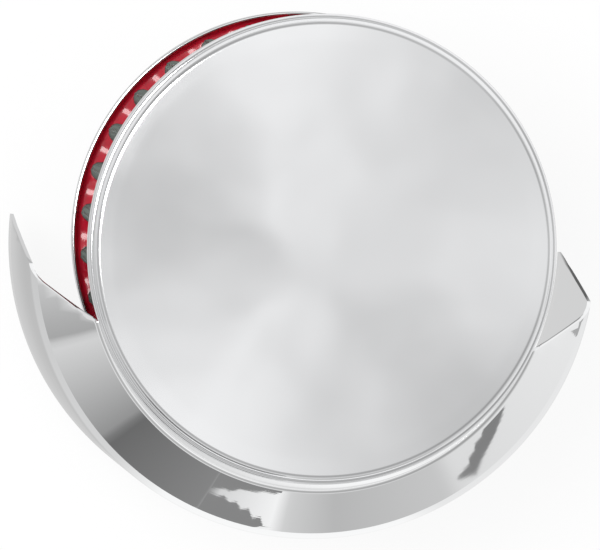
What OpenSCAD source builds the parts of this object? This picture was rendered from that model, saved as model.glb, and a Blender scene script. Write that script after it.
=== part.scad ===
// Crankcase breather filter: a pleated cotton element between a chrome cap and a chrome base pan,
// on a push-in neck, with a pressed hood that hangs from the cap and shields one side.
// Millimetres. Z runs up the axis from the open end of the neck, and the hood hangs on the -Y side.

/* [Sheet metal] */
// Thickness of the drawn cap, of the base pan and of the splash baffle
sheet_t = 0.5; // [0.3:0.1:1]
// Thickness of the hood
hood_t = 0.6; // [0.4:0.1:1.2]

/* [Cap] */
// Diameter over the bead of the cap
cap_d = 76; // [66:1:110]
// Rise of the domed panel above its own edge
cap_crown = 0.9; // [0.4:0.1:3]
// Width of the sloping margin between the domed panel and the shoulder
cap_margin = 1.4; // [0.8:0.1:4]
// Drop of the sloping margin
cap_margin_drop = 0.2; // [0.1:0.1:1]
// Radius of the rounded shoulder
cap_shoulder_r = 1.3; // [0.8:0.1:2.4]
// Straight height between the shoulder and the bead
cap_rim_h = 0.2; // [0.1:0.1:3]
// Radius of the rolled bead, which stands out from the wall
cap_bead_r = 0.7; // [0.5:0.1:1.2]
// Height of the wall below the bead
cap_wall_h = 7.5; // [5:0.5:12]

/* [Hood] */
// Outer radius of the hood at its bend
hood_rim_r = 46.6; // [45:0.1:70]
// How far the hood's centre stands forward of the filter's axis
hood_offset = 1.6; // [1:0.1:3]
// Radius where the flat shelf turns down into the sloping band
hood_shelf_r = 37.8; // [36.5:0.1:39]
// Radius of the bend between the shelf and the band
hood_shelf_bend = 1.2; // [0.8:0.1:2]
// Slope of the band below the horizontal
hood_slope = 47; // [35:1:60]
// Radius of the bend between the band and the skirt
hood_bend_r = 6.0; // [1:0.1:7]
// Height of the skirt below the bend
hood_skirt_h = 39.5; // [20:0.5:42]
// How far the skirt flares outwards over its height
hood_flare = 1.1; // [0.3:0.1:4]
// Height of the collar that grips the wall of the cap
hood_collar_h = 3; // [1.5:0.5:4]
// Forward distance of the trimmed ends from the hood's centre, at the shelf
hood_trim_top = 12.5; // [9:0.1:16]
// Forward distance of the trimmed ends from the hood's centre, at the bend
hood_trim_rim = 4.4; // [2:0.1:8]
// Forward distance of the trimmed ends from the hood's centre, at the foot of the skirt
hood_trim_foot = -1.6; // [-6:0.1:4]

/* [Element] */
// Number of pleats
pleat_count = 31; // [24:1:44]
// Gap between the folds of the element and the bore of the cap's wall
pleat_gap = 0.1; // [0.1:0.1:0.4]
// Depth of the pleats
pleat_depth = 6; // [6:0.5:13]
// Thickness of each wire screen
screen_t = 0.25; // [0.15:0.05:0.4]
// Thickness of the cotton gauze between the screens
gauze_t = 0.7; // [0.6:0.1:1.2]
// Depth of potting compound that the folds stand in, at each end
potting_depth = 2.3; // [2:0.1:5]
// Compound between the ends of the folds and the metal
potting_bed = 0.9; // [0.5:0.1:2]
// Width of the compound inside the folds
potting_land = 1.5; // [1:0.1:4]

/* [Base pan] */
// Height from the underside of the pan to the crown of the cap
body_h = 44.5; // [36:0.5:90]
// Height of the pan's wall
pan_wall_h = 5; // [4:0.5:9]
// Radius of the pan's lower corner
pan_corner_r = 1.6; // [1:0.1:2.5]

/* [Neck] */
// Outer diameter of the neck
neck_d = 31.75; // [22:0.25:36]
// Wall of the neck tube
neck_t = 1.0; // [0.8:0.1:1.6]
// Length of the neck below the pan
neck_len = 19; // [12:0.5:40]
// Height of the locking bead round the neck
neck_bead = 0.8; // [0.4:0.1:1.5]
// Width of the flange that clinches the neck to the pan
neck_flange = 2.5; // [1.5:0.5:4]

/* [Splash baffle] */
// Gap between the neck's flange and the legs of the splash baffle
baffle_clear = 1.1; // [0.3:0.1:2.5]
// Clear height between the pan and the baffle
baffle_gap = 7; // [5:0.5:12]
// Depth of the baffle's turned-down lip
baffle_lip = 2; // [1:0.5:3]
// Number of legs
baffle_legs = 3; // [3:1:4]
// Width of each leg
baffle_leg_w = 6; // [4:0.5:8]

/* [Hidden] */
$fn = 96;
chrome = "gainsboro";

// Heights, from the open end of the neck up
z_pan = neck_len;
z_floor = z_pan + sheet_t;
z_crown = z_pan + body_h;
z_panel = z_crown - cap_crown;
z_margin = z_panel - cap_margin_drop;
z_rim_top = z_margin - cap_shoulder_r;
z_seat = z_rim_top - cap_rim_h - 2 * cap_bead_r;

// Radii of the cap and of the pan, which share one diameter
cap_r = cap_d / 2;
cap_wall_r = cap_r - cap_bead_r;
cap_bore_r = cap_wall_r - sheet_t;
cap_shoulder_start = cap_wall_r - cap_shoulder_r;
cap_panel_r = cap_shoulder_start - cap_margin;

// Points on an arc about c, from angle a0 to a1 in n steps
function arc(c, r, a0, a1, n) =
    [for (i = [0:n]) let (a = a0 + (a1 - a0) * i / n) [c.x + r * cos(a), c.y + r * sin(a)]];

function reversed(list) = [for (i = [len(list) - 1:-1:0]) list[i]];

// The domed panel, as points from the axis out to its edge
crown_steps = 8;
crown_sphere_r = (cap_panel_r ^ 2 + cap_crown ^ 2) / (2 * cap_crown);
function crown_z(r) = z_crown - crown_sphere_r + sqrt(crown_sphere_r ^ 2 - r ^ 2);
function crown_points(drop) =
    [for (i = [0:crown_steps]) let (r = cap_panel_r * i / crown_steps) [r, crown_z(r) - drop]];

// Height of the panel's underside at radius r, on the same straight steps as the panel
function underside_z(r) =
    let (step = cap_panel_r / crown_steps, i = floor(r / step), f = r / step - i)
    crown_z(i * step) * (1 - f) + crown_z((i + 1) * step) * f - sheet_t;

// The inside of the shoulder, as points from the wall up to the margin
function shoulder_inside() =
    arc([cap_shoulder_start, z_rim_top], cap_shoulder_r - sheet_t, 0, 90, 6);

// Radii and heights of the pleated element
element_t = gauze_t + 2 * screen_t;
pleat_r_out = cap_bore_r - pleat_gap;
pleat_r_in = pleat_r_out - pleat_depth;
pleat_pitch = 360 / pleat_count;
z_pleat_foot = z_floor + potting_bed;
z_pleat_top = z_rim_top;
potting_r_in = pleat_r_in - potting_land;

// One fold: the middle of the element turns on an arc at its tip and on another at its root
fold_r = element_t / 2 + 0.1;
tip_c = [pleat_r_out - fold_r - element_t / 2, 0];
root_r = pleat_r_in + fold_r + element_t / 2;
root_c = root_r * [cos(pleat_pitch / 2), sin(pleat_pitch / 2)];
centres = root_c - tip_c;
flank_angle = atan2(centres.y, centres.x) + asin(2 * fold_r / norm(centres)) - 90;
root_span = flank_angle - pleat_pitch / 2;
tip_steps = 4;
root_steps = 2;

function turned(p, a) = [p.x * cos(a) - p.y * sin(a), p.x * sin(a) + p.y * cos(a)];

// The whole pleated line at distance s outside the middle of the element, with a tip in the middle of
// the hood's side
function pleat_line(s) =
    [for (i = [0:pleat_count - 1]) each
        [for (p = concat(
            arc(tip_c, fold_r + s, -flank_angle, flank_angle, tip_steps),
            arc(root_c, fold_r - s, 180 + flank_angle, 180 + pleat_pitch - flank_angle, root_steps)))
            turned(p, i * pleat_pitch - 90)]];

// Base pan and neck
pan_bore_r = cap_r - sheet_t;
neck_r = neck_d / 2;
neck_bore_r = neck_r - neck_t;

// Splash baffle
baffle_r = neck_r + neck_flange + baffle_clear + sheet_t;
z_baffle = z_floor + baffle_gap;
baffle_foot_l = 3;

// Hood, in its own radius from its own centre: a flat shelf, a sloping band and a skirt
hood_flare_angle = atan(hood_flare / hood_skirt_h);
hood_skirt_angle = 90 - hood_flare_angle;
hood_band_end_r = hood_rim_r - hood_bend_r * (sin(hood_skirt_angle) - sin(hood_slope));
z_band_end = z_seat - (hood_band_end_r - hood_shelf_r) * tan(hood_slope);
z_rim = z_band_end - hood_bend_r * (cos(hood_slope) - cos(hood_skirt_angle));
z_hood_foot = z_rim - hood_skirt_h;
hood_foot_r = hood_rim_r + hood_flare;
hood_shelf_c = [hood_shelf_r - hood_shelf_bend * tan(hood_slope / 2), z_seat - hood_shelf_bend];
hood_bend_c = [hood_rim_r - hood_bend_r * sin(hood_skirt_angle), z_rim - hood_bend_r * cos(hood_skirt_angle)];
hood_inner_r = cap_wall_r - hood_offset - 1;

// The hood's section at depth t below its upper face, from the shelf to the foot
function hood_line(t) = concat(
    [[hood_inner_r, z_seat - t]],
    arc(hood_shelf_c, hood_shelf_bend - t, 90, 90 - hood_slope, 4),
    arc(hood_bend_c, hood_bend_r - t, 90 - hood_slope, hood_flare_angle, 6),
    [[hood_foot_r - t * cos(hood_flare_angle), z_hood_foot - t * sin(hood_flare_angle)]]);

// Pressed steel cap: domed panel, rounded shoulder and a wall that grips the element, with a rolled bead
module cap() {
    color(chrome) rotate_extrude() polygon(concat(
        crown_points(0),
        arc([cap_shoulder_start, z_rim_top], cap_shoulder_r, 90, 0, 6),
        arc([cap_wall_r, z_seat + cap_bead_r], cap_bead_r, 90, -90, 8),
        [[cap_wall_r, z_seat - cap_wall_h], [cap_bore_r, z_seat - cap_wall_h]],
        shoulder_inside(),
        reversed(crown_points(sheet_t))));
}

// The part of the hood's sheet that stays after its ends are trimmed, seen from the side
module hood_trim() {
    reach = hood_foot_r + hood_offset + 1;
    rotate([90, 0, 90]) linear_extrude(2 * reach, center = true) polygon([
        [-reach, z_seat + 1],
        [-hood_offset - hood_trim_top, z_seat + 1],
        [-hood_offset - hood_trim_top, z_seat],
        [-hood_offset - hood_trim_rim, z_rim],
        [-hood_offset - hood_trim_foot, z_hood_foot],
        [-hood_offset - hood_trim_foot, z_hood_foot - 1],
        [-reach, z_hood_foot - 1]]);
}

// One sheet: a collar round the wall of the cap, and on one side a shelf, a band and a skirt
module hood() {
    collar_r = cap_wall_r + hood_t;
    color(chrome) difference() {
        union() {
            intersection() {
                translate([0, -hood_offset, 0]) rotate_extrude()
                    polygon(concat(hood_line(0), reversed(hood_line(hood_t))));
                hood_trim();
            }
            translate([0, 0, z_seat - hood_collar_h]) cylinder(h = hood_collar_h, r = collar_r);
        }
        translate([0, 0, z_seat - hood_collar_h - 1]) cylinder(h = hood_collar_h + 2, r = cap_wall_r);
    }
}

// A ring of the element's section between distances s0 and s1 from its middle
module pleated_ring(s0, s1) {
    outer = pleat_line(s1);
    inner = pleat_line(s0);
    n = len(outer);
    translate([0, 0, z_pleat_foot]) linear_extrude(z_pleat_top - z_pleat_foot)
        polygon(concat(outer, inner), [[for (i = [0:n - 1]) i], [for (i = [n:2 * n - 1]) i]]);
}

module outer_screen() {
    color("slategray") pleated_ring(element_t / 2 - screen_t, element_t / 2);
}

module gauze() {
    color("crimson") pleated_ring(screen_t - element_t / 2, element_t / 2 - screen_t);
}

module inner_screen() {
    color("slategray") pleated_ring(-element_t / 2, screen_t - element_t / 2);
}

// Potting compound cast in the cap, round the upper ends of the folds
module top_potting() {
    z_low = z_pleat_top - potting_depth;
    step = cap_panel_r / crown_steps;
    color("firebrick") difference() {
        rotate_extrude() polygon(concat(
            [[potting_r_in, z_low], [cap_bore_r, z_low]],
            shoulder_inside(),
            [[cap_panel_r, z_panel - sheet_t]],
            [for (i = [crown_steps - 1:-1:0]) if (i * step > potting_r_in) [i * step, underside_z(i * step)]],
            [[potting_r_in, underside_z(potting_r_in)]]));
        pleated_ring(-element_t / 2, element_t / 2);
    }
}

// Potting compound cast in the base pan, round the lower ends of the folds
module base_potting() {
    color("firebrick") difference() {
        rotate_extrude() polygon(concat(
            [[potting_r_in, z_floor]],
            arc([cap_r - pan_corner_r, z_pan + pan_corner_r], pan_corner_r - sheet_t, -90, 0, 4),
            [[pan_bore_r, z_pleat_foot + potting_depth], [potting_r_in, z_pleat_foot + potting_depth]]));
        pleated_ring(-element_t / 2, element_t / 2);
    }
}

// Drawn steel pan with a hole for the neck
module base_pan() {
    corner_c = [cap_r - pan_corner_r, z_pan + pan_corner_r];
    color(chrome) rotate_extrude() polygon(concat(
        [[neck_r, z_pan]],
        arc(corner_c, pan_corner_r, -90, 0, 5),
        [[cap_r, z_pan + pan_wall_h], [pan_bore_r, z_pan + pan_wall_h]],
        arc(corner_c, pan_corner_r - sheet_t, 0, -90, 4),
        [[neck_r, z_floor]]));
}

// Steel tube with a bead below the pan and a flange clinched over its floor
module neck() {
    color(chrome) rotate_extrude() polygon(concat(
        [[neck_bore_r, 0], [neck_r, 0]],
        arc([neck_r, z_pan - neck_bead], neck_bead, -90, 0, 4),
        [[neck_r + neck_bead, z_pan], [neck_r, z_pan], [neck_r, z_floor],
         [neck_r + neck_flange, z_floor], [neck_r + neck_flange, z_floor + neck_t],
         [neck_bore_r, z_floor + neck_t]]));
}

// Disc over the neck on turned-down legs whose feet are welded to the pan
module splash_baffle() {
    color("silver") {
        translate([0, 0, z_baffle]) cylinder(h = sheet_t, r = baffle_r);
        baffle_ring(z_baffle - baffle_lip, z_baffle + sheet_t);
        intersection() {
            baffle_ring(z_floor, z_baffle + sheet_t);
            baffle_spokes(baffle_r + 1, z_baffle + sheet_t - z_floor);
        }
        difference() {
            baffle_spokes(baffle_r + baffle_foot_l, sheet_t);
            translate([0, 0, z_floor - 1]) cylinder(h = sheet_t + 2, r = baffle_r - sheet_t);
        }
    }
}

// The ring of sheet at the edge of the baffle, between two heights
module baffle_ring(z0, z1) {
    translate([0, 0, z0]) difference() {
        cylinder(h = z1 - z0, r = baffle_r);
        translate([0, 0, -1]) cylinder(h = z1 - z0 + 2, r = baffle_r - sheet_t);
    }
}

// Bars that mark out the legs and their feet, standing on the pan's floor
module baffle_spokes(reach, h) {
    for (i = [0:baffle_legs - 1])
        rotate(90 + 360 / baffle_legs * i)
            translate([baffle_r - baffle_foot_l, -baffle_leg_w / 2, z_floor])
                cube([reach - baffle_r + baffle_foot_l, baffle_leg_w, h]);
}

cap();
hood();
top_potting();
outer_screen();
gauze();
inner_screen();
base_potting();
base_pan();
neck();
splash_baffle();
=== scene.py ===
from math import asin, atan, atan2, cos, exp, radians, sin, sqrt, tan

import bpy
from mathutils import Matrix, Vector


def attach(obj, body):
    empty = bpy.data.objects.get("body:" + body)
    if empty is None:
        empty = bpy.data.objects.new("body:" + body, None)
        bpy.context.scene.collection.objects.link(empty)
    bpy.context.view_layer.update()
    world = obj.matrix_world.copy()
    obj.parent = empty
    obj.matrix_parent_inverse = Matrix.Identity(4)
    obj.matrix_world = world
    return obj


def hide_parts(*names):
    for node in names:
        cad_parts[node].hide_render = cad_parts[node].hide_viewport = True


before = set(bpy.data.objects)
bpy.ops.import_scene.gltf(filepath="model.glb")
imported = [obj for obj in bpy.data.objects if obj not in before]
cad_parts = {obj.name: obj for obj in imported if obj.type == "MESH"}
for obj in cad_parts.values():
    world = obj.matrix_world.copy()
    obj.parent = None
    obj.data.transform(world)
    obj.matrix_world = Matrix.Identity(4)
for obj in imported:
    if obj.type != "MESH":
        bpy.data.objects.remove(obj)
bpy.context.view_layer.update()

mm = 0.001

# Camera. It hangs 0.8 m over the cap on a long lens and looks straight down but for seven and a half
# degrees, from the side where the element shows, so the hood's slope fills the near side.
aim = Vector((-2.872, -4.573, 55.0)) * mm
lean, bearing, roll = radians(7.5), radians(155.99), radians(4.3)
back = Vector((sin(lean) * cos(bearing), sin(lean) * sin(bearing), cos(lean)))
up = (Vector((0, 1, 0)) - back * back.y).normalized()
right = up.cross(back)
camera = bpy.data.objects.new("camera", bpy.data.cameras.new("camera"))
bpy.context.scene.collection.objects.link(camera)
camera.data.sensor_width, camera.data.lens = 36, 294.9
camera.data.clip_start, camera.data.clip_end = 0.01, 20
camera.matrix_world = Matrix.LocRotScale(
    aim + back * 796.5 * mm,
    Matrix((right * cos(roll) + up * sin(roll), up * cos(roll) - right * sin(roll), back)).transposed(),
    None)
bpy.context.scene.camera = camera

# Cap. Deep drawn from 0.5 mm steel and chrome plated: a slightly domed panel, a sloping margin, a
# rounded shoulder, and a wall that grips the element, with a rolled bead round it that stands on the hood.
sheet_t = 0.5
cap_r, cap_crown, cap_margin, cap_margin_drop, cap_shoulder_r = 38.0, 0.9, 1.4, 0.2, 1.3
cap_rim_h, cap_bead_r, cap_wall_h = 0.2, 0.7, 7.5
z_crown, z_panel = 63.5, 62.6
z_rim_top = z_panel - cap_margin_drop - cap_shoulder_r
z_seat = z_rim_top - cap_rim_h - 2 * cap_bead_r
cap_wall_r = cap_r - cap_bead_r
cap_shoulder_start = cap_wall_r - cap_shoulder_r
cap_panel_r = cap_shoulder_start - cap_margin
round_steps, panel_steps = 256, 24


def arc(cx, cz, r, start, end, steps):
    """Points on an arc of a half section, in degrees from the outward direction."""
    turns = [radians(start + (end - start) * i / steps) for i in range(steps + 1)]
    return [(cx + r * cos(a), cz + r * sin(a)) for a in turns]


def drawn_line(name, points):
    """A line of vertices drawn from point to point, in millimetres, left selected in edit mode."""
    points = [Vector(p) * mm for p in points]
    bpy.ops.object.select_all(action="DESELECT")
    bpy.ops.mesh.primitive_plane_add(size=mm)
    bpy.context.object.name = name
    bpy.ops.object.mode_set(mode="EDIT")
    bpy.ops.mesh.select_mode(type="VERT")
    bpy.ops.mesh.merge(type="CENTER")
    bpy.ops.transform.translate(value=points[0])
    for here, there in zip(points, points[1:]):
        bpy.ops.mesh.extrude_region_move(TRANSFORM_OT_translate={"value": there - here})
    bpy.ops.mesh.select_all(action="SELECT")
    return bpy.context.object


def spun(name, section, y=0.0):
    """A half section of (radius, height) spun round an upright axis at y, left in edit mode."""
    piece = drawn_line(name, [(r, y, z) for r, z in section])
    bpy.ops.mesh.spin(steps=round_steps, angle=radians(360), center=(0, y * mm, 0), axis=(0, 0, 1))
    bpy.ops.mesh.select_all(action="SELECT")
    bpy.ops.mesh.remove_doubles(threshold=0.002 * mm)
    bpy.ops.mesh.normals_make_consistent(inside=False)
    return piece


def sheet_metal(piece, thickness, probe, outward, edge=0.1):
    """Turns the skin so that its face nearest probe looks outward, gives it its wall and eases its edges."""
    bpy.ops.object.mode_set(mode="OBJECT")
    probe = Vector(probe) * mm
    nearest = min(piece.data.polygons, key=lambda face: (face.center - probe).length)
    if nearest.normal.dot(Vector(outward)) < 0:
        piece.data.flip_normals()
    wall = piece.modifiers.new("wall", "SOLIDIFY")
    wall.thickness, wall.offset, wall.use_even_offset = thickness * mm, -1, True
    bpy.ops.object.modifier_apply(modifier="wall")
    if edge:
        ease = piece.modifiers.new("eased edge", "BEVEL")
        ease.width, ease.segments, ease.limit_method, ease.angle_limit = edge * mm, 2, "ANGLE", radians(50)
        bpy.ops.object.modifier_apply(modifier="eased edge")
    bpy.ops.object.shade_smooth_by_angle(angle=radians(35))


def nodes_for(tree):
    """A way to add nodes to a material: node(type, {input: value or socket}, settings)."""
    def node(kind, inputs=None, **settings):
        made = tree.nodes.new("ShaderNode" + kind)
        for key, value in settings.items():
            setattr(made, key, value)
        for key, value in (inputs or {}).items():
            if isinstance(value, bpy.types.NodeSocket):
                tree.links.new(value, made.inputs[key])
            else:
                made.inputs[key].default_value = value
        return made
    return node


def finish(name, colour, metallic=0.0, roughness=0.5):
    """A new finish: its material, its shader and the way to add nodes to it."""
    material = bpy.data.materials.new(name)
    material.use_nodes = True
    shader = material.node_tree.nodes["Principled BSDF"]
    shader.inputs["Base Color"].default_value = (*colour, 1)
    shader.inputs["Metallic"].default_value = metallic
    shader.inputs["Roughness"].default_value = roughness
    return material, shader, nodes_for(material.node_tree)


def chrome_plate(name, colour, smooth, haze, rings, waves):
    """Bright chrome on drawn steel: faint polishing rings, slightly hazy patches and a gentle waviness."""
    material, shader, node = finish(name, colour, 1.0, smooth)
    place = node("TexCoord").outputs["Object"]
    flat = node("VectorMath", {0: place, 1: (1, 1, 0)}, operation="MULTIPLY").outputs[0]
    reach = node("VectorMath", {0: flat}, operation="LENGTH").outputs["Value"]
    lines = node("TexNoise", {"W": reach, "Scale": 2600, "Detail": 2}, noise_dimensions="1D").outputs[0]
    cloud = node("TexNoise", {"Vector": place, "Scale": 45, "Detail": 3}).outputs[0]
    rough = node("MapRange", {"Value": cloud, "From Min": 0.35, "From Max": 0.7,
                              "To Min": smooth, "To Max": smooth + haze}).outputs[0]
    swell = node("TexNoise", {"Vector": place, "Scale": 38, "Detail": 1.5, "Roughness": 0.4}).outputs[0]
    wavy = node("Bump", {"Height": swell, "Strength": 1.0, "Distance": waves * mm}).outputs[0]
    ringed = node("Bump", {"Height": lines, "Strength": rings, "Distance": 0.05 * mm,
                           "Normal": wavy}).outputs[0]
    material.node_tree.links.new(rough, shader.inputs["Roughness"])
    material.node_tree.links.new(ringed, shader.inputs["Normal"])
    return material


def dressed(piece, material, *nodes, slot):
    """The piece wears one finish, moves with the filter and stands for the nodes that it replaces."""
    piece.data.materials.clear()
    piece.data.materials.append(material)
    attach(piece, "root")
    if nodes:
        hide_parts(*nodes)


dome_r = (cap_panel_r ** 2 + cap_crown ** 2) / (2 * cap_crown)
panel_radii = [cap_panel_r * i / panel_steps for i in range(panel_steps + 1)]
panel = [(r, z_crown - dome_r + sqrt(dome_r ** 2 - r ** 2)) for r in panel_radii]
cap = spun("drawn_cap",
           panel
           + arc(cap_shoulder_start, z_rim_top, cap_shoulder_r, 90, 0, 12)
           + arc(cap_wall_r, z_seat + cap_bead_r, cap_bead_r, 90, -90, 14)
           + [(cap_wall_r, z_seat - cap_wall_h)])
sheet_metal(cap, sheet_t, (0, 0, z_crown), (0, 0, 1))
cap_chrome = chrome_plate("cap_chrome", (0.87, 0.875, 0.885), smooth=0.1, haze=0.07, rings=0.02, waves=0.5)
dressed(cap, cap_chrome, "cap", slot="chrome")

# Hood. One pressed 0.6 mm sheet, chrome plated: a collar welded round the cap's wall, a narrow shelf, a
# sloping band and a long skirt. It stands off centre, and its two ends are trimmed at a slant.
hood_t, hood_y = 0.6, -1.6
hood_rim_r, hood_shelf_r, hood_shelf_bend, hood_bend_r, hood_slope = 46.6, 37.8, 1.2, 6.0, 47
hood_skirt_h, hood_flare, hood_collar_h = 39.5, 1.1, 3.0
hood_trim_top, hood_trim_rim, hood_trim_foot = 12.5, 4.4, -1.6
flare = atan(hood_flare / hood_skirt_h)
slope = radians(hood_slope)
band_end_r = hood_rim_r - hood_bend_r * (cos(flare) - sin(slope))
z_band_end = z_seat - (band_end_r - hood_shelf_r) * tan(slope)
z_rim = z_band_end - hood_bend_r * (cos(slope) - sin(flare))
z_hood_foot = z_rim - hood_skirt_h
shelf_bend_r = hood_shelf_r - hood_shelf_bend * tan(slope / 2)

shelf_bend = arc(shelf_bend_r, z_seat - hood_shelf_bend, hood_shelf_bend, 90, 90 - hood_slope, 8)
rim_bend = arc(hood_rim_r - hood_bend_r * cos(flare), z_rim - hood_bend_r * sin(flare), hood_bend_r,
               90 - hood_slope, flare / radians(1), 16)
# close rings at both ends of the band keep its reflections straight
band = [(shelf_bend[-1][0] * (1 - f) + rim_bend[0][0] * f, shelf_bend[-1][1] * (1 - f) + rim_bend[0][1] * f)
        for f in (0.03, 0.3, 0.7, 0.97)]

hood = spun("pressed_hood",
            shelf_bend + band + rim_bend
            + [(hood_rim_r + hood_flare * i / 8, z_rim - hood_skirt_h * i / 8) for i in range(1, 9)], hood_y)
bpy.ops.mesh.primitive_circle_add(vertices=round_steps, radius=cap_wall_r * mm, location=(0, 0, z_seat * mm))
bpy.ops.object.mode_set(mode="OBJECT")
for edge in hood.data.edges:
    edge.select = all(abs(hood.data.vertices[v].co.z - z_seat * mm) < 0.01 * mm for v in edge.vertices)
bpy.ops.object.mode_set(mode="EDIT")
bpy.ops.mesh.bridge_edge_loops()
for (y0, z0), (y1, z1) in (((-hood_trim_top, z_seat), (-hood_trim_rim, z_rim)),
                           ((-hood_trim_rim, z_rim), (-hood_trim_foot, z_hood_foot))):
    bpy.ops.mesh.select_all(action="SELECT")
    bpy.ops.mesh.bisect(plane_co=(0, (hood_y + y0) * mm, z0 * mm),
                        plane_no=Vector((0, z0 - z1, y1 - y0)).normalized(), clear_outer=True)
bpy.ops.mesh.select_all(action="DESELECT")
bpy.ops.mesh.primitive_circle_add(vertices=round_steps, radius=cap_wall_r * mm, location=(0, 0, z_seat * mm))
bpy.ops.mesh.extrude_region_move(TRANSFORM_OT_translate={"value": (0, 0, -hood_collar_h * mm)})
bpy.ops.mesh.select_all(action="SELECT")
bpy.ops.mesh.remove_doubles(threshold=0.01 * mm)
bpy.ops.mesh.normals_make_consistent(inside=False)
sheet_metal(hood, hood_t, (0, hood_y - hood_rim_r - 0.5, z_rim - 15), (0, -1, 0))
hood_chrome = chrome_plate("hood_chrome", (0.93, 0.935, 0.94), smooth=0.015, haze=0.025, rings=0.01,
                           waves=0.12)
dressed(hood, hood_chrome, "hood", slot="chrome")

# Element. Cotton gauze between two woven wire screens, pleated into 31 folds and rolled into a ring. One
# fold is drawn here, from the middle of one flank over the root and the tip to the middle of the next.
pleat_count, pleat_r_out, pleat_r_in = 31, 36.7, 30.7
screen_t, gauze_t, fold_r = 0.25, 0.7, 0.7
z_pleat_foot, z_pleat_top = 20.4, 61.1
pitch = radians(360 / pleat_count)
element_t = gauze_t + 2 * screen_t
tip = Vector((pleat_r_out - fold_r - element_t / 2, 0))
root = (pleat_r_in + fold_r + element_t / 2) * Vector((cos(pitch / 2), sin(pitch / 2)))
span = root - tip
flank = atan2(span.y, span.x) + asin(2 * fold_r / span.length) - radians(90)


def fold_line(s, steps, bend_steps=60):
    """Even points along one fold at distance s outside its middle, as (place, outward direction)."""
    fine = []
    for i in range(-bend_steps, bend_steps + 1):
        a = flank * i / bend_steps
        fine.append((tip + (fold_r + s) * Vector((cos(a), sin(a))), Vector((cos(a), sin(a)))))
    for i in range(bend_steps + 1):
        a = radians(180) + flank + (pitch - 2 * flank) * i / bend_steps
        fine.append((root + (fold_r - s) * Vector((cos(a), sin(a))), -Vector((cos(a), sin(a)))))
    turn = Matrix.Rotation(pitch, 2)
    fine.append((turn @ fine[0][0], turn @ fine[0][1]))
    back_to_start = Matrix.Rotation(-pitch, 2)
    middle = len(fine) - 1
    # start half way along the flank that runs into this fold
    start = ((back_to_start @ fine[-2][0]) + fine[0][0]) / 2
    fine = [(start, fine[0][1])] + fine[:middle] + [(turn @ start, turn @ fine[0][1])]
    gaps = [(b[0] - a[0]).length for a, b in zip(fine, fine[1:])]
    whole, line, done, k = sum(gaps), [], 0.0, 0
    for i in range(steps + 1):
        want = whole * i / steps
        while k < len(gaps) - 1 and done + gaps[k] < want - 1e-9:
            done += gaps[k]
            k += 1
        f = (want - done) / gaps[k]
        line.append((fine[k][0].lerp(fine[k + 1][0], f), fine[k][1].lerp(fine[k + 1][1], f).normalized()))
    return line


def ring_of_folds(piece):
    """Repeats one fold round the filter's axis and welds the folds to each other."""
    bpy.ops.object.mode_set(mode="OBJECT")
    turned = bpy.data.objects.new("turned", None)
    bpy.context.scene.collection.objects.link(turned)
    turned.rotation_euler.z = pitch
    ring = piece.modifiers.new("folds", "ARRAY")
    ring.count, ring.use_relative_offset, ring.use_object_offset = pleat_count, False, True
    ring.offset_object = turned
    ring.use_merge_vertices, ring.use_merge_vertices_cap, ring.merge_threshold = True, True, 0.02 * mm
    bpy.ops.object.modifier_apply(modifier="folds")
    bpy.data.objects.remove(turned)
    piece.data.transform(Matrix.Rotation(radians(-90), 4, "Z"))


# Outer screen. Plain weave of 0.25 mm steel wire with a grey-green coat that bonds the crossings: eight
# upright wires to a fold, and rows that pass over and under them by turns.
wire_d, weave, wires = 0.25, 0.1, 8
row_gap, z_row, rows = 1.5, 20.9, 26
wire_middle, wire_length = (z_pleat_foot + z_pleat_top) / 2, z_pleat_top - z_pleat_foot - 0.6


def wire_row(name, first, z):
    """One row across one fold, as a four sided wire."""
    line = fold_line(gauze_t / 2 + screen_t / 2, 2 * wires)
    lifts = [0 if i % 2 == 0 else first * weave * (-1) ** (i // 2) for i in range(2 * wires + 1)]
    row = drawn_line(name, [(p.x + d.x * lift, p.y + d.y * lift, z) for (p, d), lift in zip(line, lifts)])
    bpy.ops.object.mode_set(mode="OBJECT")
    bpy.ops.object.convert(target="CURVE")
    row = bpy.context.object
    row.data.bevel_depth, row.data.bevel_resolution = wire_d / 2 * mm, 0
    row.data.resolution_u = 1
    bpy.ops.object.convert(target="MESH")
    row = bpy.context.object
    stack = row.modifiers.new("rows", "ARRAY")
    stack.use_relative_offset, stack.use_constant_offset = False, True
    stack.constant_offset_displace, stack.count = (0, 0, 2 * row_gap * mm), rows // 2
    bpy.ops.object.modifier_apply(modifier="rows")
    return row


over = wire_row("rows_over", 1, z_row)
under = wire_row("rows_under", -1, z_row + row_gap)
bpy.ops.object.select_all(action="DESELECT")
uprights = []
for place, outward in fold_line(gauze_t / 2 + screen_t / 2, 2 * wires)[1::2]:
    bpy.ops.mesh.primitive_cylinder_add(vertices=4, radius=wire_d / 2 * mm, depth=wire_length * mm,
                                        location=(place.x * mm, place.y * mm, wire_middle * mm),
                                        rotation=(0, 0, atan2(outward.y, outward.x)))
    uprights.append(bpy.context.object)
for piece in [*uprights, over, under]:
    piece.select_set(True)
bpy.context.view_layer.objects.active = over
bpy.ops.object.join()
bpy.ops.object.transform_apply()
over.name = "woven_outer_screen"
ring_of_folds(over)
bpy.ops.object.shade_smooth_by_angle(angle=radians(100))
wire, shader, node = finish("screen_wire", (0.13, 0.155, 0.14), 0.35, 0.42)
dressed(over, wire, "outer_screen", slot="screen_wire")

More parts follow.
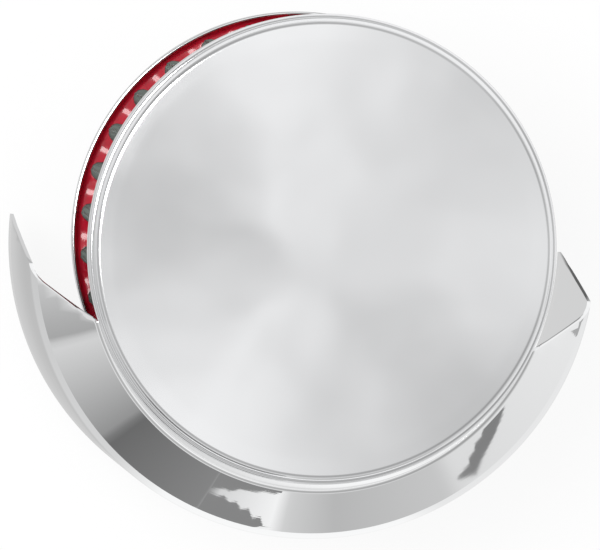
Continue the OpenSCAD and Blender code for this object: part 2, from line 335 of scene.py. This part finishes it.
# Gauze. Several plies of oiled red cotton, folded with the screens and pressed between them.
fold_steps, rises = 28, 8
fold = fold_line(0, fold_steps)
gauze = drawn_line("oiled_gauze", [(p.x, p.y, z_pleat_foot + 0.1) for p, _ in fold])
bpy.ops.object.mode_set(mode="OBJECT")
along = gauze.data.attributes.new("along", "FLOAT", "POINT")
for vertex in gauze.data.vertices:
    nearest = min(range(len(fold)), key=lambda i: (fold[i][0] * mm - vertex.co.xy).length)
    along.data[vertex.index].value = nearest / fold_steps
bpy.ops.object.mode_set(mode="EDIT")
for rise in range(rises):
    bpy.ops.mesh.extrude_region_move(
        TRANSFORM_OT_translate={"value": (0, 0, (z_pleat_top - z_pleat_foot - 0.2) / rises * mm)})
bpy.ops.mesh.select_all(action="SELECT")
bpy.ops.mesh.normals_make_consistent(inside=False)
ring_of_folds(gauze)
plies = gauze.modifiers.new("plies", "SOLIDIFY")
plies.thickness, plies.offset = gauze_t * mm, 0
bpy.ops.object.modifier_apply(modifier="plies")
bpy.ops.object.shade_smooth_by_angle(angle=radians(60))
cotton, shader, node = finish("oiled_cotton", (0.36, 0.012, 0.03), 0.0, 0.62)
shader.inputs["Sheen Weight"].default_value = 0.25
shader.inputs["Sheen Tint"].default_value = (1, 0.25, 0.3, 1)
place = node("TexCoord").outputs["Object"]
height = node("SeparateXYZ", {0: place}).outputs["Z"]
length = node("Attribute", attribute_name="along").outputs["Fac"]
weft = node("CombineXYZ", {"Z": height}).outputs[0]
warp = node("CombineXYZ", {"X": length}).outputs[0]
across = node("TexWave", {"Vector": weft, "Scale": 700, "Distortion": 0.6, "Detail": 2, "Detail Scale": 3},
              bands_direction="Z").outputs[0]
upright = node("TexWave", {"Vector": warp, "Scale": 13, "Distortion": 0.6, "Detail": 2},
               bands_direction="X").outputs[0]
weave_h = node("Math", {0: across, 1: upright}, operation="ADD").outputs[0]
bump = node("Bump", {"Height": weave_h, "Strength": 0.5, "Distance": 0.12 * mm}).outputs[0]
cotton.node_tree.links.new(bump, shader.inputs["Normal"])
blotch = node("TexNoise", {"Vector": place, "Scale": 160, "Detail": 4}).outputs[0]
tone = node("Mix", {0: blotch, 6: (0.24, 0.006, 0.018, 1), 7: (0.5, 0.02, 0.045, 1)},
            data_type="RGBA").outputs[2]
cotton.node_tree.links.new(tone, shader.inputs["Base Color"])
dressed(gauze, cotton, "gauze", slot="oiled_gauze")

# Inner screen. The same coated wire inside the gauze, behind it from every side.
inner_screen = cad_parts["inner_screen"]
inner_screen.data.materials.clear()
inner_screen.data.materials.append(wire)

# Base potting. Red compound poured into the pan round the feet of the folds. Before it sets it creeps up the
# screens and the pan's wall, and deeper into the narrow roots, so each two folds hold a glossy red scoop.
potting_r_in, pan_bore_r, z_floor = 29.2, 37.5, 19.5
potting_low, potting_slope, fold_creep, wall_creep, wall_reach = 21.0, 0.29, 0.8, 1.2, 0.45


def creep_height(r, a):
    """Height of the set compound at a radius, and at an angle from the tip of a fold."""
    inset = pan_bore_r - r
    return (potting_low + potting_slope * inset + fold_creep * (1 + cos(radians(360) * a / pitch)) / 2
            + wall_creep * exp(-(inset / wall_reach) ** 1.2))


bpy.ops.object.select_all(action="DESELECT")
bpy.ops.mesh.primitive_grid_add(x_subdivisions=40, y_subdivisions=36, size=2)
potting = bpy.context.object
potting.name = "poured_base_potting"
for vertex in potting.data.vertices:
    r = potting_r_in + (pan_bore_r - potting_r_in) * (vertex.co.x + 1) / 2
    a = pitch * vertex.co.y / 2
    vertex.co = Vector((r * cos(a), r * sin(a), creep_height(r, a))) * mm
ring_of_folds(potting)
bpy.ops.object.mode_set(mode="EDIT")
bpy.ops.mesh.select_mode(type="EDGE")
bpy.ops.mesh.select_all(action="DESELECT")
bpy.ops.mesh.select_non_manifold()
bpy.ops.mesh.extrude_region_move(TRANSFORM_OT_translate={"value": (0, 0, -mm)})
bpy.ops.transform.resize(value=(1, 1, 0), center_override=(0, 0, (z_floor + 0.02) * mm))
bpy.ops.mesh.bridge_edge_loops()
bpy.ops.mesh.select_all(action="SELECT")
bpy.ops.mesh.normals_make_consistent(inside=False)
bpy.ops.object.mode_set(mode="OBJECT")
bpy.ops.object.shade_smooth_by_angle(angle=radians(50))
compound, shader, node = finish("red_potting", (0.55, 0.012, 0.03), 0.0, 0.16)
shader.inputs["Coat Weight"].default_value = 0.4
shader.inputs["Coat Roughness"].default_value = 0.1
place = node("TexCoord").outputs["Object"]
swirl = node("TexNoise", {"Vector": place, "Scale": 220, "Detail": 3, "Distortion": 1.2}).outputs[0]
tone = node("Mix", {0: swirl, 6: (0.5, 0.01, 0.026, 1), 7: (0.8, 0.02, 0.055, 1)},
            data_type="RGBA").outputs[2]
compound.node_tree.links.new(tone, shader.inputs["Base Color"])
ripple = node("TexNoise", {"Vector": place, "Scale": 500, "Detail": 1}).outputs[0]
bump = node("Bump", {"Height": ripple, "Strength": 0.25, "Distance": 0.1 * mm}).outputs[0]
compound.node_tree.links.new(bump, shader.inputs["Normal"])
dressed(potting, compound, "base_potting", slot="potting")

# Top potting. The same compound cast in the cap, hidden behind the cap's wall.
top_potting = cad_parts["top_potting"]
top_potting.data.materials.clear()
top_potting.data.materials.append(compound)

# Base pan. Drawn from 0.5 mm steel and chrome plated, with a rounded corner, a low wall round the potting
# and a hole in which the neck is clinched.
neck_r, z_pan, pan_wall_h, pan_corner_r = 15.875, 19.0, 5.0, 1.6
pan = spun("drawn_base_pan",
           [(neck_r + i * (cap_r - pan_corner_r - neck_r) / 4, z_pan) for i in range(4)]
           + arc(cap_r - pan_corner_r, z_pan + pan_corner_r, pan_corner_r, -90, 0, 10)
           + [(cap_r, z_pan + pan_wall_h)])
sheet_metal(pan, sheet_t, (cap_r, 0, z_pan + 3), (1, 0, 0), edge=0.18)
pan_chrome = chrome_plate("pan_chrome", (0.9, 0.905, 0.91), smooth=0.06, haze=0.05, rings=0.02, waves=0.1)
dressed(pan, pan_chrome, "base_pan", slot="chrome")

# Neck. Steel tube, chrome plated, with a bead under the pan and its upper end flanged over the pan's floor.
neck_t, neck_bead, neck_flange = 1.0, 0.8, 2.5
neck_bore_r = neck_r - neck_t
neck = spun("push_in_neck",
            [(neck_bore_r, 0), (neck_r, 0)]
            + arc(neck_r, z_pan - neck_bead, neck_bead, -90, 0, 8)
            + [(neck_r + neck_bead, z_pan), (neck_r, z_pan), (neck_r, z_floor),
               (neck_r + neck_flange, z_floor), (neck_r + neck_flange, z_floor + neck_t),
               (neck_bore_r, z_floor + neck_t), (neck_bore_r, 0)])
bpy.ops.object.mode_set(mode="OBJECT")
ease = neck.modifiers.new("eased edge", "BEVEL")
ease.width, ease.segments, ease.limit_method, ease.angle_limit = 0.15 * mm, 2, "ANGLE", radians(50)
bpy.ops.object.modifier_apply(modifier="eased edge")
bpy.ops.object.shade_smooth_by_angle(angle=radians(35))
dressed(neck, pan_chrome, "neck", slot="chrome")

# Splash baffle. Plain pressed steel disc on three turned-down legs, welded to the pan's floor over the neck.
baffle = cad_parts["splash_baffle"]
plain_steel, shader, node = finish("plain_steel", (0.52, 0.52, 0.53), 1.0, 0.32)
place = node("TexCoord").outputs["Object"]
grain = node("Mapping", {"Vector": place, "Scale": (1, 12, 1)}).outputs[0]
rolled = node("TexNoise", {"Vector": grain, "Scale": 220, "Detail": 4}).outputs[0]
rough = node("MapRange", {"Value": rolled, "To Min": 0.25, "To Max": 0.48}).outputs[0]
plain_steel.node_tree.links.new(rough, shader.inputs["Roughness"])
baffle.data.materials.clear()
baffle.data.materials.append(plain_steel)

# Floor. A plain pale paper sweep under the neck's open end. The camera sees it as white with the object's
# faint shadow. For the chrome alone it glows in painted greys: painted shadow under and near the object,
# and painted uneven light and shade further out.
def greys(make, factor, stops, blend="LINEAR"):
    """A ramp of greys over 0 to 1."""
    ramp = make("ValToRGB", {0: factor})
    ramp.color_ramp.interpolation = blend
    ramp.color_ramp.elements.remove(ramp.color_ramp.elements[0])
    for i, (at, grey) in enumerate(stops):
        stop = ramp.color_ramp.elements[0] if i == 0 else ramp.color_ramp.elements.new(at)
        stop.position, stop.color = at, (grey, grey, grey, 1)
    return ramp.outputs[0]


def by_bearing(make, place, stops, blend="LINEAR"):
    """A ramp of greys round an upright axis, its stops at bearings in degrees counter-clockwise from +X."""
    around = make("TexGradient", {"Vector": place}, gradient_type="RADIAL").outputs["Fac"]
    return greys(make, around, sorted(((degree + 180) / 360, grey) for degree, grey in stops), blend)


bpy.ops.object.select_all(action="DESELECT")
bpy.ops.mesh.primitive_plane_add(size=8)
floor = bpy.context.object
floor.name = "floor"
paper, shader, node = finish("white_paper", (0.9, 0.9, 0.9), 0.0, 0.9)
floor.data.materials.append(paper)
rays = node("LightPath")
white = node("Emission", {"Color": (1, 1, 1, 1), "Strength": 1.0})
sweep = node("MixShader", {0: 0.86, 1: shader.outputs[0], 2: white.outputs[0]})
place = node("TexCoord").outputs["Object"]
reach = node("VectorMath", {0: place}, operation="LENGTH").outputs["Value"]
# painted light and shade seen only by the chrome: greys by bearing far out, darker greys close to the object
painted_tones_far = by_bearing(node, place, [(-180, 0.6), (-125, 0.7), (-112, 1.0), (-64, 1.0), (-56, 0.85), (0, 0.85),
                               (90, 1.0), (150, 0.8), (180, 0.6)])
painted_shadow_near = by_bearing(node, place, [(-180, 0.5), (-128, 0.55), (-112, 0.9), (-64, 0.9), (-56, 0.8), (-12, 0.7),
                                 (-4, 0.12), (40, 0.12), (60, 0.45), (180, 0.5)])
# painted shadow under the object: a flat mid grey inside the hood's edge
past_edge = node("MapRange", {"Value": reach, "From Min": 0.0485, "From Max": 0.0515}).outputs[0]
painted_shadow_near = node("Mix", {0: past_edge, 6: (0.66, 0.66, 0.66, 1), 7: painted_shadow_near}, data_type="RGBA").outputs[2]
beyond = node("MapRange", {"Value": reach, "From Min": 0.058, "From Max": 0.085}).outputs[0]
painted_floor_tones = node("Mix", {0: beyond, 6: painted_shadow_near, 7: painted_tones_far}, data_type="RGBA").outputs[2]
mirrored = node("Emission", {"Color": painted_floor_tones})
ground = node("MixShader", {0: rays.outputs["Is Camera Ray"], 1: shader.outputs[0], 2: sweep.outputs[0]})
ground = node("MixShader", {0: rays.outputs["Is Glossy Ray"], 1: ground.outputs[0], 2: mirrored.outputs[0]})
paper.node_tree.links.new(ground.outputs[0], paper.node_tree.nodes["Material Output"].inputs["Surface"])

# Low flats. A ring of grey and white boards on the floor round the object, with dark cards hung before them,
# all seen by its chrome alone. The hood mirrors the dark boards in front on the left and the frayed cards.
flats_r, flats_h = 200, 85


def mirrored_prop(prop, tone_by):
    """A prop that only mirrors see, shining in a tone that is made with its own nodes."""
    paint, shader, node = finish(prop.name, (0.5, 0.5, 0.5), 0.0, 0.9)
    glow = node("Emission", {"Color": tone_by(node)})
    paint.node_tree.links.new(glow.outputs[0], paint.node_tree.nodes["Material Output"].inputs["Surface"])
    prop.data.materials.append(paint)
    prop.visible_camera = prop.visible_diffuse = prop.visible_shadow = prop.visible_transmission = False


def dark_card(name, grey, corners):
    """A card that hangs just inside the flats, its corners given as bearing and height."""
    card = drawn_line(name, [((flats_r - 1) * cos(radians(b)), (flats_r - 1) * sin(radians(b)), z)
                             for b, z in corners])
    bpy.ops.mesh.edge_face_add()
    bpy.ops.object.mode_set(mode="OBJECT")
    mirrored_prop(card, lambda node: (grey, grey, grey, 1))


bpy.ops.object.select_all(action="DESELECT")
bpy.ops.mesh.primitive_cylinder_add(vertices=128, radius=flats_r * mm, depth=flats_h * mm,
                                    end_fill_type="NOTHING", location=(0, 0, flats_h / 2 * mm))
bpy.ops.object.transform_apply()
bpy.context.object.name = "low_flats"
mirrored_prop(bpy.context.object, lambda node: by_bearing(node, node("TexCoord").outputs["Object"], [
    (-180, 0.8), (-158, 0.45), (-154, 0.4), (-153, 0.7), (-130, 0.3), (-129, 0.15), (-105, 0.25),
    (-103, 0.7), (-90, 0.95), (-87, 0.65), (-77, 0.5), (-54, 0.6), (-50, 0.75), (40, 1.0), (150, 0.95),
    (180, 0.8)]))
dark_card("upper_prong", 0.25, [(-105, flats_h), (-105, 36), (-102, 36), (-101, 35.5), (-99, 36), (-95, 35),
                                (-93.5, 35), (-91, 34), (-89.5, 34), (-89.5, flats_h)])
# the lower prong's upper edge is frayed: a stair of five even runs whose falls grow
frayed = []
for run in range(5):
    z = 34.3 - 1.1 * run - 0.18 * run ** 2
    frayed += [(-103 + 3 * run, z), (-101.5 + 3 * run, z)]
dark_card("lower_prong", 0.25, [(-105, 0.1), (-105, 35)] + frayed + [(-92, 25), (-93, 0.1)])
dark_card("slanting_streak", 0.23, [(-33, 19), (-33, 18.5), (-39, 16.5), (-44, 15), (-47, 14), (-51, 16),
                                    (-47, 16.5), (-46.5, 17.5), (-44.5, 18), (-43.5, 19), (-41.5, 19),
                                    (-38, 21)])
dark_card("end_patch", 0.42, [(-5, 26), (-13, 15), (-14.5, 12.5), (-14, 6), (-12, 0.2), (-5, 0.2)])

# Studio. Plain soft light from all round, white behind the floor, and for the chrome alone the soft room
# that it mirrors: a pale ceiling with three brighter lobes, a darker cornice and uneven walls.
studio = bpy.data.worlds.new("studio")
studio.use_nodes = True
bpy.context.scene.world = studio
node = nodes_for(studio.node_tree)
toward = node("TexCoord").outputs["Generated"]
facing = node("SeparateXYZ", {0: toward})
offset = node("VectorMath", {0: toward, 1: (-0.115, 0.061, 0)}, operation="ADD").outputs[0]
lobes = by_bearing(node, offset, [(-180, 0.65), (-125, 1.0), (-40, 0.6), (5, 0.9), (50, 0.7), (100, 1.0),
                                  (160, 0.6), (180, 0.65)], "EASE")
off_centre = node("VectorMath", {0: offset}, operation="LENGTH").outputs["Value"]
spread = node("MapRange", {"Value": off_centre, "From Min": 0.015, "From Max": 0.08},
              interpolation_type="SMOOTHSTEP").outputs[0]
ceiling = node("Mix", {0: spread, 6: (0.7, 0.7, 0.7, 1), 7: lobes}, data_type="RGBA").outputs[2]
walls = by_bearing(node, toward, [(-180, 0.75), (-100, 0.75), (-40, 0.6), (-20, 0.65), (0, 0.95), (20, 0.7),
                                  (40, 0.95), (140, 0.5), (160, 0.75), (180, 0.75)])
rise = node("MapRange", {"Value": facing.outputs["Z"], "From Min": 0.72, "From Max": 0.93},
            interpolation_type="SMOOTHSTEP").outputs[0]
room = node("Mix", {0: rise, 6: walls, 7: ceiling}, data_type="RGBA").outputs[2]
cornice = greys(node, facing.outputs["Z"], [(0.4, 1.0), (0.52, 0.62), (0.8, 0.62), (0.92, 1.0)])
room = node("VectorMath", {0: room, 1: cornice}, operation="MULTIPLY").outputs[0]
rays = node("LightPath")
mirrored = node("Background", {"Color": room, "Strength": 1.0})
soft = node("Background", {"Color": (0.85, 0.85, 0.85, 1), "Strength": 1.0})
white = node("Background", {"Color": (1, 1, 1, 1), "Strength": 1.0})
chosen = node("MixShader", {0: rays.outputs["Is Glossy Ray"], 1: soft.outputs[0], 2: mirrored.outputs[0]})
chosen = node("MixShader", {0: rays.outputs["Is Camera Ray"], 1: chosen.outputs[0], 2: white.outputs[0]})
studio.node_tree.links.new(chosen.outputs[0], studio.node_tree.nodes["World Output"].inputs["Surface"])


def soft_box(name, tilt, bearing, distance, size, watts):
    """A square lamp that faces the cap, at a tilt from straight above and a bearing from +X."""
    lamp = bpy.data.objects.new(name, bpy.data.lights.new(name, "AREA"))
    lamp.data.energy, lamp.data.size = watts, size
    tilt, bearing = radians(tilt), radians(bearing)
    direction = Vector((sin(tilt) * cos(bearing), sin(tilt) * sin(bearing), cos(tilt)))
    lamp.location = Vector((0, 0, 0.05)) + direction * distance
    lamp.rotation_mode = "QUATERNION"
    lamp.rotation_quaternion = direction.to_track_quat("Z", "Y")
    bpy.context.scene.collection.objects.link(lamp)
    return lamp


soft_box("soft_box_left", 27, 156, 0.9, 0.4, 4)
bpy.context.scene.view_settings.view_transform = "Standard"
